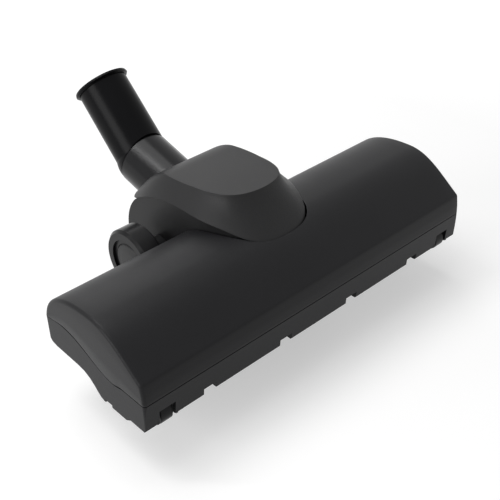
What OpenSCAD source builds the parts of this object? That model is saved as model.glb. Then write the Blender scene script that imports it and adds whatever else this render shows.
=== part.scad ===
/* [Head] */
// Width of the nozzle head, left to right
head_w = 280; // [250:1:310]
// Depth of the nozzle head, front wall to rear wall
head_d = 96; // [94:0.5:100]
// Height of the head's crest above the floor
crest_h = 62.2; // [61.5:0.1:64]
// Distance of the crest behind the front wall
crest_y = 45; // [43:0.5:48]
// Height of the upright front band above the floor
band_h = 38.4; // [36:0.2:41]
// Wall thickness of the two head shells
wall = 2.4; // [2.4:0.1:2.8]
// Rounding between the end faces and the top of the head
end_round = 2.2; // [1:0.1:2.3]
// Height of the parting line at the front wall
parting_h = 25.3; // [24.5:0.1:26]
// Rise of the parting line from the front wall to its rear crest
parting_rise = 12.1; // [11:0.1:13]
// Width of the seam between the two head shells
seam = 0.6; // [0.3:0.05:0.9]

/* [Sole] */
// Height of the front lip above the floor
lip_h = 4.6; // [4:0.1:5.2]
// Height of the sole above the floor
sole_h = 2; // [1.4:0.1:2.6]
// Width of the bay between each end face and the suction mouth
end_bay = 28; // [27:0.5:29]
// Front edge of the suction mouth
mouth_y = 8.4; // [7.6:0.2:9]
// Width of the air notches in the front wall
notch_w = 10; // [7:0.5:12]
// Height of the top of the air notches
notch_top = 10; // [8:0.5:12]

/* [Brush roll] */
// Brush axis behind the front wall
brush_y = 31; // [30.6:0.1:31.4]
// Brush axis above the floor
brush_z = 21.6; // [21.3:0.1:22]
// Radius at the bristle tips
bristle_r = 20.6; // [19.5:0.1:20.8]
// Radius of the brush core
core_r = 11.5; // [10.5:0.1:12]
// Radius of one bristle tuft
tuft_r = 1.9; // [1.4:0.1:2.2]
// Tufts in each helical row, from the middle to one end
tufts = 13; // [9:1:15]
// Turn of a helical row from the middle to one end, in degrees
row_turn = 150; // [90:10:200]
// Radius of the steel pins at the brush ends
roll_pin_r = 2.5; // [2:0.1:3]

/* [Turbine] */
// Turbine axis behind the front wall
turbine_y = 68; // [67.6:0.1:68.4]
// Turbine axis above the floor
turbine_z = 54; // [53.6:0.1:54.4]
// Radius of the turbine wheel
turbine_r = 19; // [17:0.5:19.5]
// Width of the turbine wheel
turbine_w = 34; // [30:1:38]
// Number of turbine blades
blades = 14; // [10:1:16]
// Radius of the turbine shaft
shaft_r = 2; // [1.5:0.1:2.5]
// Pitch radius of the small belt pulley on the turbine shaft
pinion_r = 5.4; // [5:0.1:6]
// Pitch radius of the belt pulley on the brush
pulley_r = 10.8; // [10.4:0.1:11]
// Distance of the belt's middle from the middle plane
belt_x = 27; // [26.8:0.1:27.4]
// Width of the ribbed drive belt
belt_w = 4.6; // [4:0.1:5]

/* [Turbine cover] */
// Height of the flat top of the cover at its front
cover_h = 84; // [82:0.5:87]
// Fall of the flat top for each millimetre rearwards
cover_fall = 0.09; // [0.06:0.01:0.12]
// Wall thickness of the cover
cover_wall = 2; // [1.6:0.1:2.4]
// Concave flare of the cover's front wall
cover_flare = 1.3; // [1.1:0.05:1.6]
// Roundness of the cover's rear hood, lower is rounder
hood_flare = 0.7; // [0.6:0.05:0.95]

/* [Neck] */
// Distance of the tilt axis behind the front wall
pivot_y = 115.6; // [115.2:0.1:116]
// Half width of the joint housing between the wheels
joint_x = 36; // [35.8:0.1:36.1]
// Radius of the joint housing's round cheeks
cheek_r = 37.5; // [37:0.1:38]
// Slope of the elbow above the horizontal, in degrees
elbow_rise = 15.5; // [15:0.1:16]
// Distance of the elbow axis above the tilt axis
elbow_off = 12.5; // [12.2:0.1:12.8]
// Distance from the tilt axis to the swivel seam along the elbow
elbow_len = 67.9; // [66:0.1:72]
// Outer radius of the elbow
elbow_r = 20.3; // [20:0.1:20.5]
// Bore radius of the elbow where the swivel turns
swivel_r = 18.3; // [18.1:0.05:18.5]
// Bend of the upper tube against the elbow, in degrees
bend = 28.4; // [20:0.2:35]
// Length of the upper tube
tube_len = 63.2; // [58:0.2:75]
// Outer radius of the upper tube at its rim
tube_r = 18.65; // [18.3:0.05:19]
// Radius of the lip round the rim of the upper tube
rim_r = 20.9; // [19.8:0.1:22]
// Bore radius of the wand socket
socket_r = 16.1; // [15.8:0.05:16.4]
// Depth of the wand socket
socket_len = 42; // [36:1:44]
// Tilt range of the neck, downwards from the upper stop, in degrees
tilt = 16; // [10:1:16]

/* [Wheels] */
// Radius of the rear wheels
wheel_r = 24; // [23.6:0.1:24.4]
// Width of the rear wheels
wheel_w = 15; // [13:0.5:16]
// Distance of the wheels' outer faces from the middle plane
wheel_x = 64.5; // [64:0.5:66]
// Radius of the wheels' stub axles
axle_r = 4; // [3.5:0.1:4.5]
// Radius of the small front rollers
roller_r = 7.3; // [7:0.1:7.6]
// Width of the small front rollers
roller_w = 9; // [7:0.5:10]
// Distance of the front rollers from the end faces of the head
roller_in = 16; // [15:0.5:18]
// Radius of the front rollers' steel pins
roller_pin_r = 1.5; // [1.2:0.1:1.8]

/* [Fasteners] */
// Thread radius of the housing screws
screw_r = 1.5; // [1.2:0.1:1.8]
// Head radius of the housing screws
screw_head_r = 3; // [2.6:0.1:3.4]

/* [Hidden] */
$fn = 64;

// Colours of the mouldings and the metal pieces
shell_grey = [0.12, 0.12, 0.125];
cover_grey = [0.15, 0.15, 0.155];
inner_grey = [0.22, 0.22, 0.23];
steel = [0.72, 0.72, 0.74];
bristle_grey = [0.3, 0.3, 0.32];

// Clearances: run turns, fit is fixed, seat lies near its support, gap is between moving mouldings
run = 0.06;
fit = 0.02;
seat = 0.25;
gap = 0.5;

pivot = [pivot_y, wheel_r];
mouth_w = head_w - 2 * end_bay;
brush_c = [brush_y, brush_z];
turbine_c = [turbine_y, turbine_z];
along = [cos(elbow_rise), sin(elbow_rise)];
above = [-sin(elbow_rise), cos(elbow_rise)];
seam_c = pivot + elbow_len * along + elbow_off * above;
tube_dir = elbow_rise + bend;
rim_c = seam_c + tube_len * [cos(tube_dir), sin(tube_dir)];
rim_edge = 0.4;
overall_d = rim_c.x + (rim_r - rim_edge) * sin(tube_dir);

// Points and curves in the side view, as [distance behind the front wall, height above the floor]
function bez(p, t) =
    pow(1 - t, 3) * p[0] + 3 * t * pow(1 - t, 2) * p[1] + 3 * t * t * (1 - t) * p[2] + pow(t, 3) * p[3];
function curve(p, n, first = 0) = [for (i = [first:n]) bez(p, i / n)];
function arc(c, r, a0, a1, n) = [for (i = [0:n]) c + r * [cos(a0 + (a1 - a0) * i / n), sin(a0 + (a1 - a0) * i / n)]];
function reversed(p) = [for (i = [len(p) - 1:-1:0]) p[i]];
function unit(v) = v / norm(v);
function side(p, i) =
    let (d = unit(p[min(i + 1, len(p) - 1)] - p[max(i - 1, 0)])) [d.y, -d.x];
// Moves an outline to the right of its own direction by d
function inset(p, d) = [for (i = [0:len(p) - 1]) p[i] + d * side(p, i)];

// Side view of the parting line: level at the front, a small dip, then an S-shaped rise
dip = 1.7;
rear_part = [head_d, parting_h + parting_rise - 1.8];
part_line = concat(
    [[0, parting_h]],
    curve([[20, parting_h], [23, parting_h], [25, parting_h - dip], [29, parting_h - dip]], 3),
    curve([[29, parting_h - dip], [45, parting_h - dip],
        [head_d - 38, parting_h + parting_rise], [head_d - 17, parting_h + parting_rise]], 8, 1),
    curve([[head_d - 17, parting_h + parting_rise], [head_d - 11, parting_h + parting_rise],
        rear_part + [-8, 0], rear_part], 3, 1));

// Side view of the upper shell from the front seam over the crest to the rear seam
slope_line = concat(
    curve([[2.8, band_h + 2], [17, band_h + 12.2], [crest_y - 16, crest_h], [crest_y, crest_h]], 9),
    curve([[crest_y, crest_h], [crest_y + 21, crest_h], [head_d - 5, crest_h - 4.7], rear_part], 11, 1));
top_line = concat(
    [[0, parting_h], [0.3, parting_h + 6]],
    curve([[1.2, band_h - 0.6], [1.5, band_h + 0.7], [1.9, band_h + 1.3], [2.8, band_h + 2]], 2),
    [for (i = [1:len(slope_line) - 1]) slope_line[i]]);
// The same line on the inside of a wall of thickness w, open downwards
function top_inside(w) =
    concat([[w, 0], [w + 0.3, parting_h + 6], [w + 1.1, band_h - 1]], inset(slope_line, w), [[head_d - w, 0]]);

// Side view of the lower shell from the front seam under the sole to the rear seam
rise_line = curve([[41, sole_h], [48, sole_h], [50, 14.6], [66, 14.6]], 6);
heel_line = curve([[head_d - 8, 15.3], [head_d - 3, 15.3], [head_d, 18], [head_d, 23]], 3);
bottom_line = concat(
    [[0, parting_h - seam], [1.7, lip_h + 1], [2.7, lip_h], [15.6, lip_h], [19.6, sole_h]],
    rise_line, heel_line, [rear_part - [0, seam]]);
bottom_inside = concat(
    [[wall, crest_h], [wall, parting_h], [wall + 1.6, lip_h + wall], [16.6, lip_h + wall], [20.6, sole_h + wall]],
    inset(rise_line, -wall), inset(heel_line, -wall), [[head_d - wall, crest_h]]);

// Places a side-view outline between two distances from the middle plane
module along_x(x0, x1) {
    translate([x0, 0, 0]) rotate([90, 0, 90]) linear_extrude(x1 - x0) children();
}

// A round bar or disc along X, centred on a side-view point
module rod(c, r, x0, x1) {
    translate([x0, c.x, c.y]) rotate([0, 90, 0]) cylinder(r = r, h = x1 - x0);
}

// Moves the finished piece so that the whole object is centred on the origin
module placed() {
    translate([0, -overall_d / 2, 0]) children();
}

// Both mirror images of a piece on the +X side
module both() {
    children();
    mirror([1, 0, 0]) children();
}

// Closed skin through a list of rings with equal numbers of points, capped at both ends
module skin(rings) {
    n = len(rings[0]);
    m = len(rings);
    polyhedron(
        points = [for (r = rings) each r],
        faces = concat(
            [[for (i = [n - 1:-1:0]) i]],
            [for (j = [0:m - 2], i = [0:n - 1], k = [0, 1])
                let (a = j * n + i, b = j * n + (i + 1) % n)
                k == 0 ? [a, b, a + n] : [b, b + n, a + n]],
            [[for (i = [0:n - 1]) (m - 1) * n + i]]),
        convexity = 8);
}

// Sections of the rounded end: [distance from the middle plane, inset of the outline]
round_steps = 3;
end_steps = [for (i = [0:round_steps])
    let (a = 90 * i / round_steps)
    [head_w / 2 - end_round + end_round * sin(a), end_round * (1 - cos(a))]];
stations = concat([for (s = reversed(end_steps)) [-s.x, s.y]], end_steps);

// The parting line between its two ends, narrowed so that it meets an inset outline
function drawn_in(d, drop = 0) = [for (i = [1:len(part_line) - 2])
    [d + part_line[i].x * (head_d - 2 * d) / head_d, part_line[i].y - drop]];

function upper_section(d) = concat(inset(top_line, d), reversed(drawn_in(d)));

module upper_outer() {
    skin([for (s = stations) [for (p = upper_section(s.y)) [s.x, p.x, p.y]]]);
}

module lower_outer() {
    intersection() {
        along_x(-head_w / 2, head_w / 2) polygon(concat(drawn_in(0, seam), reversed(bottom_line)));
        linear_extrude(crest_h) round_plan(head_w, head_d, end_round);
    }
}

// Rectangle with round corners, its front edge on the X axis
module round_plan(w, d, r) {
    translate([-w / 2 + r, 0]) square([w - 2 * r, d]);
    translate([-w / 2, r]) square([w, d - 2 * r]);
    for (x = [-w / 2 + r, w / 2 - r], y = [r, d - r]) translate([x, y]) circle(r = r);
}

// Plan of the cover: half outlines as [half width, distance behind the front wall]
function foot(w, u) = u < 1 ? bez([[0, 31], [14, 31], [w - 15, 34.2], [w - 8.9, 46]], u)
    : u < 2 ? bez([[w - 8.9, 46], [w - 4, 55.5], [w, 66], [w, 80]], u - 1)
    : u < 3 ? bez([[w, 80], [w, 116], [w, 134], [w - 4, 145]], u - 2)
    : bez([[w - 4, 145], [w - 8.5, 155], [18, 157.5], [0, 157.5]], u - 3);
function crown(w, u) = u < 1 ? bez([[0, 51.5], [11, 51.5], [w - 8.5, 55.5], [w - 4.3, 64.5]], u)
    : u < 2 ? bez([[w - 4.3, 64.5], [w - 1.3, 71.5], [w - 0.4, 78], [w, 86]], u - 1)
    : u < 3 ? bez([[w, 86], [w + 2, 102], [w + 1, 120], [w - 5, 134]], u - 2)
    : bez([[w - 5, 134], [w - 9, 144], [12, 149], [0, 149]], u - 3);
cover_foot_w = joint_x + 2;
cover_crown_w = 28.3;
function flare(u) = u < 1.5 ? cover_flare : u > 3 ? hood_flare : cover_flare + (hood_flare - cover_flare) * (u - 1.5) / 1.5;

// Side view of the cover's lower edge: sunk in the head at the front, S-shaped over the cheeks
edge_front = [[31, 57.6], [36, 60.2], [41, 61.6], [49, 64.2]];
edge_rise = [[49, 64.2], [58, 67], [70, 67.6], [88, 67.6]];
edge_fall = [[88, 67.6], [108, 67.6], [124, 62.8], [137, 54.2]];
edge_rear = [[137, 54.2], [142, 51], [147, 47.6], [157.5, 47.6]];
edge_line = concat(curve(edge_front, 4), curve(edge_rise, 5, 1), curve(edge_fall, 7, 1), curve(edge_rear, 4, 1));
function edge_z(y) = lookup(y, edge_line);
fall_y = 112;
fall_rate = 0.0182;
function crown_z(y) = cover_h - cover_fall * (y - 52) - (y > fall_y ? fall_rate * pow(y - fall_y, 2) : 0);

// Half ring of the cover at height share v, moved in by d and down by d
cover_n = 7;
function half_ring(v, d) = [for (i = [0:4 * cover_n])
    let (u = i / cover_n, f = foot(cover_foot_w, u), c = crown(cover_crown_w, u),
        k = 1 - pow(1 - v, flare(u)),
        q = f + (c - f) * k,
        z0 = edge_z(f.y), z1 = crown_z(c.y),
        t = unit(foot(cover_foot_w, min(u + 0.02, 4)) - foot(cover_foot_w, max(u - 0.02, 0))))
    [max(q.x - d * t.y, 0), q.y + d * t.x, z0 + (z1 - z0) * v]];

// Closed body of the cover: d moves its walls in, top_drop lowers its roof, low_drop its lower edge
cover_levels = [0, 0.12, 0.25, 0.4, 0.55, 0.7, 0.85, 1];
module cover_body(d, top_drop, low_drop) {
    last = 4 * cover_n;
    rings = [for (v = cover_levels) let (h = half_ring(v, d), drop = v == 0 ? low_drop : top_drop * v)
        concat([for (i = [0:last]) h[i] - [0, 0, drop]],
            [for (i = [last - 1:-1:1]) [-h[i].x, h[i].y, h[i].z - drop]])];
    n = len(rings[0]);
    m = len(rings);
    top = (m - 1) * n;
    polyhedron(
        points = [for (r = rings) each r],
        faces = concat(
            [for (j = [0:m - 2], i = [0:n - 1], k = [0, 1])
                let (a = j * n + i, b = j * n + (i + 1) % n)
                k == 0 ? [a, a + n, b] : [b, a + n, b + n]],
            [[0, 1, n - 1]], [[last - 1, last, last + 1]],
            [for (i = [1:last - 2], k = [0, 1])
                k == 0 ? [i, i + 1, n - i] : [i + 1, n - i - 1, n - i]],
            [[top + 1, top, top + n - 1]], [[top + last, top + last - 1, top + last + 1]],
            [for (i = [1:last - 2], k = [0, 1])
                k == 0 ? [top + i + 1, top + i, top + n - i] : [top + n - i - 1, top + i + 1, top + n - i]]),
        convexity = 6);
}

// Plan of the head's cut-out round the cover, widened by g
rim_x = joint_x + 1.2;
function cutout(g) = concat(
    curve([[0, 30.4 - g], [15.2, 30.4 - g], [rim_x - 13.2 + g, 33.4 - g], [rim_x - 7.5 + g, 45]], 8),
    curve([[rim_x - 7.5 + g, 45], [rim_x - 2.4 + g, 55], [rim_x + g, 66], [rim_x + g, 80]], 6, 1),
    [[rim_x + g, 220]]);
module cutout_plan(g) {
    half = cutout(g);
    linear_extrude(200) polygon(concat(half, [for (p = reversed(half)) if (p.x > 0) [-p.x, p.y]]));
}

function part_top(y) = lookup(y, part_line);

// Round bays for the wheels in the rear of the head, g wider than the wheels
arch_gap = 1.2;
module wheel_bay(g) {
    both() rod(pivot, wheel_r + g, wheel_x - wheel_w - g, wheel_x + g);
}

// Places of the six housing screws, in plan: four in the end bays, two beside the wheels
screw_in_bay = 13;
screw_x = head_w / 2 - screw_in_bay;
screw_rear = 76;
screw_front = 34;
inner_screw = [62, 78];
screw_places = [
    [screw_x, screw_rear], [-screw_x, screw_rear], inner_screw, [-inner_screw.x, inner_screw.y],
    [screw_x, screw_front], [-screw_x, screw_front]];
boss_r = screw_r + 2.4;
boss_drop = 12;
screw_in = 3.4;
screw_floor = [for (p = screw_places) p.y > 60 ? 14.6 : sole_h];

module upper_housing() {
    color(shell_grey) placed() {
        difference() {
            upper_outer();
            along_x(-head_w / 2 + wall, head_w / 2 - wall) polygon(top_inside(wall));
            cutout_plan(0);
            wheel_bay(arch_gap);
        }
    }
}

// Stiffening ribs and screw posts bonded under the roof of the upper housing
rib_thick = 1.8;
rib_deep = 12;
rib_start = 6;
rib_x_places = [wheel_x - 4.5, mouth_w / 2 - 16];
module rib_frame() {
    color(inner_grey) placed() {
        difference() {
            intersection() {
                along_x(-head_w / 2 + wall + 1, head_w / 2 - wall - 1) polygon(top_inside(wall + seat));
                union() {
                    for (x = rib_x_places, s = [-1, 1])
                        translate([s * x - rib_thick / 2, rib_start, crest_h - rib_deep])
                            cube([rib_thick, head_d - 14, 20]);
                    for (p = screw_places)
                        translate([p.x, p.y, part_top(p.y) + seat]) cylinder(r = boss_r, h = 60);
                }
            }
            for (p = screw_places)
                translate([p.x, p.y, 0]) cylinder(r = screw_r + fit, h = parting_h + 1 + boss_drop, $fn = 32);
        }
    }
}

module lower_housing() {
    color(shell_grey) placed() {
        pocket_x = head_w / 2 - roller_in;
        pocket_w = roller_w + 2.6;
        difference() {
            union() {
                difference() {
                    lower_outer();
                    along_x(-head_w / 2 + wall, head_w / 2 - wall)
                        polygon(bottom_inside);
                }
                // Rear bulkhead of the brush chamber, end walls and rear sole bar
                along_x(-mouth_w / 2 - 2, mouth_w / 2 + 2)
                    polygon([[45, sole_h], [56, sole_h], [62.5, 15.6], [61, 19.5], [57, 28.5], [54.5, 28.5], [50, 20]]);
                both() along_x(mouth_w / 2 + 0.6, mouth_w / 2 + 2.4)
                    polygon([[wall - 0.5, lip_h + 0.7], [20, sole_h + 0.9], [54, sole_h + 0.9], [59, 16],
                        [57, part_top(57) - seam - 0.7], [40, parting_h - dip - seam - 0.4],
                        [wall - 0.5, parting_h - dip - seam - 0.4]]);
                // Walls of the wheel bays
                intersection() {
                    wheel_bay(arch_gap + 2);
                    along_x(-head_w / 2 + 1, head_w / 2 - 1) polygon([[70, 17], [70, part_top(84) - seam - 0.4],
                        [head_d - 1, rear_part.y - seam - 0.4], [head_d - 1, 23], [head_d - 4, 16.6]]);
                }
                // Walls round the front rollers
                both() translate([pocket_x - pocket_w / 2 - 1.6, wall - 0.9, lip_h + 0.6])
                    cube([pocket_w + 3.2, roller_r * 2 + 4.5, roller_r * 2 - lip_h + 2.3]);
                // Screw bosses
                for (i = [0:len(screw_places) - 1])
                    translate([screw_places[i].x, screw_places[i].y, screw_floor[i]])
                        cylinder(r = boss_r, h = part_top(screw_places[i].y) - screw_floor[i]);
            }
            // Suction mouth with room for the brush
            translate([-mouth_w / 2, mouth_y, -1]) cube([mouth_w, 47.6 - mouth_y, lip_h + wall + 2.3]);
            rod(brush_c, bristle_r + 1.9, -mouth_w / 2, mouth_w / 2);
            // Air notches in the front wall
            both() for (x = [30, 92])
                translate([x - notch_w / 2, -1, -1]) cube([notch_w, mouth_y + 2, notch_top + 1]);
            // Front roller pockets, open to the floor and to the front
            both() translate([pocket_x - pocket_w / 2, -1, -1])
                cube([pocket_w, roller_r * 2 + 3.6 + wall, roller_r * 2 + 1.4]);
            both() rod([roller_r + 1.7, roller_r], roller_pin_r + fit, pocket_x - 8.6, pocket_x + 8.6);
            wheel_bay(arch_gap);
            // Small relief at the lower edge of each end face
            both() translate([head_w / 2 - 1.4, 33.5, -1]) cube([3, 6.5, 5]);
            // Saddle for the joint housing
            translate([-rim_x, head_d - wall - 6, 17.8]) cube([2 * rim_x, wall + 20, 60]);
            // Screw holes and head recesses
            for (i = [0:len(screw_places) - 1])
                translate([screw_places[i].x, screw_places[i].y, -1]) {
                    cylinder(r = screw_r + fit, h = 60, $fn = 32);
                    cylinder(r = screw_head_r + seat, h = screw_floor[i] + screw_in + 1, $fn = 32);
                }
            // The bulkhead leaves room for the belt guard
            translate([belt_x - guard_half - seat, brush_y, brush_z - 6])
                cube([2 * (guard_half + seat), 40, 40]);
        }
    }
}

module turbine_cover() {
    color(cover_grey) placed() {
        difference() {
            cover_body(0, 0, 0);
            cover_body(cover_wall, cover_wall, 1);
            // Room for the neck's round shell and the elbow at its upper stop and below it
            barrel(barrel_r + gap, barrel_side_r + gap, joint_x - 2);
            elbow_way(elbow_r + 0.35);
        }
        // Roof ribs over the turbine
        intersection() {
            cover_body(cover_wall - 0.4, cover_wall - 0.4, 0);
            both() translate([9, 56, turbine_z + turbine_r + 2.4]) cube([1.6, 46, 30]);
        }
    }
}

// Clearance for the elbow from its upper stop downwards
module elbow_way(r) {
    translate([0, seam_c.x, seam_c.y]) rotate([90 + elbow_rise, 0, 0]) translate([0, 0, -10])
        cylinder(r = r, h = 62);
    translate([0, pivot.x, pivot.y]) rotate([elbow_rise, 0, 0])
        translate([-r, 20, elbow_off - 60]) cube([2 * r, 80, 60]);
}

// Round body about the tilt axis: r_mid in the middle, r_side at half width x
module barrel(r_mid, r_side, x) {
    sag = r_mid - r_side;
    rho = (x * x + sag * sag) / (2 * sag);
    a = asin(x / rho);
    translate([0, pivot.x, pivot.y]) rotate([0, 90, 0]) rotate_extrude($fn = 96)
        polygon(concat([[0, -x]],
            [for (i = [-8:8]) [r_mid - rho + rho * cos(a * i / 8), rho * sin(a * i / 8)]],
            [[0, x]]));
}

// Wedge about the tilt axis between two angles, in the side view
module wedge(a0, a1, x, r = 90) {
    along_x(-x, x) polygon(concat([pivot], arc(pivot, r, a0, a1, 12)));
}

cheek_wall = 2.4;
joint_in = joint_x - cheek_wall;
neck_x = joint_in - gap;
neck_wall = 2;
barrel_r = 42.6;
barrel_side_r = 36;
low_r = 32;
trunnion_r = 5;
trunnion_end = joint_x + 2;
shelf_a = 48;
low_end_a = -18.5;
high_end_a = 82;
joint_floor = 3.2;
joint_sill = 18;
lip_a = low_end_a + 2;
post_r = 4;
post_ahead = 25.6;

// Side view of the joint housing: turbine room in front, round cheeks at the rear
function floor_angle(r, z) = asin((z - pivot.y) / r);
chamber_r = turbine_r + 5.5;
cheek_top = 44;
joint_outline = concat(
    arc(turbine_c, chamber_r, 162, 240, 8),
    [[64, joint_sill], [head_d + seat, joint_sill], [head_d + seat, joint_floor + 6], [head_d + 5, joint_floor]],
    arc(pivot, cheek_r, floor_angle(cheek_r, joint_floor), cheek_top, 24),
    reversed([for (p = edge_line) if (p.x > 45.5 && p.x < 141.5) p - [0, seat]]));
joint_hollow = concat(
    arc(turbine_c, chamber_r - cheek_wall, 162, 240, 8),
    [[64 + cheek_wall, joint_sill + cheek_wall], [head_d + cheek_wall, joint_sill + cheek_wall],
        [head_d + cheek_wall, joint_floor + 8], [head_d + 7, joint_floor + cheek_wall]],
    arc(pivot, low_r + gap, floor_angle(low_r + gap, joint_floor + cheek_wall), lip_a, 10),
    [pivot + 80 * [cos(lip_a), sin(lip_a)], [200, 90], [40, 90]]);

module joint_housing() {
    color(inner_grey) placed() {
        difference() {
            union() {
                difference() {
                    intersection() {
                        along_x(-joint_x, joint_x) polygon(joint_outline);
                        cutout_plan(joint_x - rim_x);
                    }
                    intersection() {
                        along_x(-joint_in, joint_in) polygon(joint_hollow);
                        cutout_plan(joint_x - rim_x - cheek_wall);
                    }
                }
                // Posts inside the cheeks, under the cover
                intersection() {
                    both() translate([joint_in - 3, pivot.x - post_ahead, joint_sill]) cylinder(r = post_r, h = 60);
                    along_x(-joint_x, joint_x) polygon(joint_outline);
                }
                // Bosses and stub axles for the wheels
                both() rod(pivot, 9, joint_x - 0.5, wheel_x - wheel_w - 0.4);
                both() rod(pivot, axle_r, joint_x + 2, wheel_x - 2.6);
            }
            // Blind seats of the neck's trunnions
            both() rod(pivot, trunnion_r + run, joint_in - 1, trunnion_end + 0.4);
            // Air slot into the turbine room
            translate([-17, 38, turbine_z - 15]) cube([34, 18, 9]);
            // Way for the belt and its guard
            along_x(belt_x - guard_half - seat, belt_x + guard_half + seat)
                polygon(loop(pinion_r + guard_room + 1.2 + seat, pulley_r + guard_room + 1.2 + seat));
        }
    }
}

// Closed outline round both belt pulleys: r1 about the turbine axis, r2 about the brush axis
function loop(r1, r2) =
    let (d = turbine_c - brush_c, base = atan2(d.y, d.x), open = acos((r2 - r1) / norm(d)))
    concat(arc(turbine_c, r1, base - open, base + open, 16),
        arc(brush_c, r2, base + open, base + 360 - open, 24));

belt_thick = 1.2;
belt_rib = 0.7;
rib_n = 3;
rib_w = 0.8;
function rib_x(i) = belt_x + (i - (rib_n - 1) / 2) * (belt_w - 1) / (rib_n - 1);
guard_room = 3.2;
guard_half = belt_w / 2 + 2.3;
guard_wall = 1;

module drive_belt() {
    color([0.05, 0.05, 0.05]) placed() {
        difference() {
            along_x(belt_x - belt_w / 2, belt_x + belt_w / 2)
                polygon(loop(pinion_r + belt_thick, pulley_r + belt_thick));
            along_x(belt_x - belt_w, belt_x + belt_w) polygon(loop(pinion_r + run, pulley_r + run));
        }
        for (i = [0:rib_n - 1])
            difference() {
                along_x(rib_x(i) - rib_w / 2, rib_x(i) + rib_w / 2)
                    polygon(loop(pinion_r + run + 0.2, pulley_r + run + 0.2));
                along_x(rib_x(i) - rib_w, rib_x(i) + rib_w)
                    polygon(loop(pinion_r - belt_rib, pulley_r - belt_rib));
            }
    }
}

// Grooved pulley on a hub: c axis, r pitch radius, bore radius b
module pulley(c, r, b) {
    difference() {
        union() {
            rod(c, r, belt_x - belt_w / 2 - 0.3, belt_x + belt_w / 2 + 0.3);
            both_rims(c, r);
        }
        for (i = [0:rib_n - 1])
            difference() {
                rod(c, r + 3, rib_x(i) - rib_w / 2 - 0.12, rib_x(i) + rib_w / 2 + 0.12);
                rod(c, r - belt_rib - 0.15, rib_x(i) - rib_w, rib_x(i) + rib_w);
            }
        rod(c, b, belt_x - 10, belt_x + 10);
    }
}
module both_rims(c, r) {
    rim_h = 0.7;
    rod(c, r + rim_h, belt_x - belt_w / 2 - 1, belt_x - belt_w / 2 - 0.3);
    rod(c, r + rim_h, belt_x + belt_w / 2 + 0.3, belt_x + belt_w / 2 + 1);
}

module belt_guard() {
    color(inner_grey) placed() {
        difference() {
            along_x(belt_x - guard_half, belt_x + guard_half)
                polygon(loop(pinion_r + guard_room + 1.2, pulley_r + guard_room + 1.2));
            along_x(belt_x - guard_half + guard_wall, belt_x + guard_half - guard_wall)
                polygon(loop(pinion_r + guard_room, pulley_r + guard_room));
            // Open inside the turbine room and below the brush axis
            rod(turbine_c, chamber_r - cheek_wall - 0.6, belt_x - 10, belt_x + 10);
            translate([belt_x - 10, 0, -10]) cube([20, 80, brush_z + 10]);
            rod(brush_c, core_r + 0.9, belt_x - 10, belt_x + 10);
        }
    }
}

plate_w = 2;
plate_x = belt_x - belt_w / 2 - 1.5 - plate_w;
bearing_r = 5;
plate_r = chamber_r - cheek_wall - seat - 1;
module turbine_plate() {
    difference() {
        along_x(plate_x, plate_x + plate_w) union() {
            translate(turbine_c) circle(r = plate_r);
            translate([turbine_y - 1, joint_sill + cheek_wall + seat])
                square([19, turbine_z - joint_sill - cheek_wall - seat]);
        }
        rod(turbine_c, bearing_r + fit, plate_x - 1, plate_x + plate_w + 1);
    }
}
module turbine_bearing() {
    difference() {
        union() {
            rod(turbine_c, bearing_r, plate_x - 0.6, plate_x + plate_w);
            rod(turbine_c, bearing_r + 1.2, plate_x - 1.6, plate_x - seat);
        }
        rod(turbine_c, shaft_r + run, plate_x - 3, plate_x + plate_w + 3);
    }
}

// Bearing block of the brush, hung in the end wall of the brush chamber
block_x = mouth_w / 2 - 4.2;
module brush_bearing() {
    difference() {
        union() {
            rod(brush_c, 8, block_x, mouth_w / 2 + 0.4);
            translate([block_x, brush_y - 6, brush_z - 10]) cube([mouth_w / 2 + 0.4 - block_x, 12, 20]);
        }
        rod(brush_c, roll_pin_r + run, block_x - 1, mouth_w / 2 - 0.4);
    }
}

module roller_pin() {
    pocket_x = head_w / 2 - roller_in;
    rod([roller_r + 1.7, roller_r], roller_pin_r, pocket_x - 7.2, pocket_x + 7.2);
}

module front_roller() {
    pocket_x = head_w / 2 - roller_in;
    translate([pocket_x - roller_w / 2, roller_r + 1.7, roller_r]) rotate([0, 90, 0]) rotate_extrude()
        polygon([[roller_pin_r + run, 0], [roller_r - 0.8, 0], [roller_r, 0.8], [roller_r, roller_w - 0.8],
            [roller_r - 0.8, roller_w], [roller_pin_r + run, roller_w]]);
}

clip_x = wheel_x - 3.9;
module axle_clips() {
    color(steel) placed() both() difference() {
        rod(pivot, axle_r + 3, clip_x, clip_x + 0.8);
        rod(pivot, axle_r + fit, clip_x - 1, clip_x + 2);
    }
}

module housing_screws() {
    color(steel) placed()
        for (i = [0:len(screw_places) - 1])
            translate([screw_places[i].x, screw_places[i].y, screw_floor[i] + screw_in - 2]) {
                translate([0, 0, -seat / 2]) cylinder(r = screw_head_r, h = 2, $fn = 32);
                cylinder(r = screw_r, h = parting_h + boss_drop - screw_floor[i] - 2, $fn = 32);
            }
}

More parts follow.
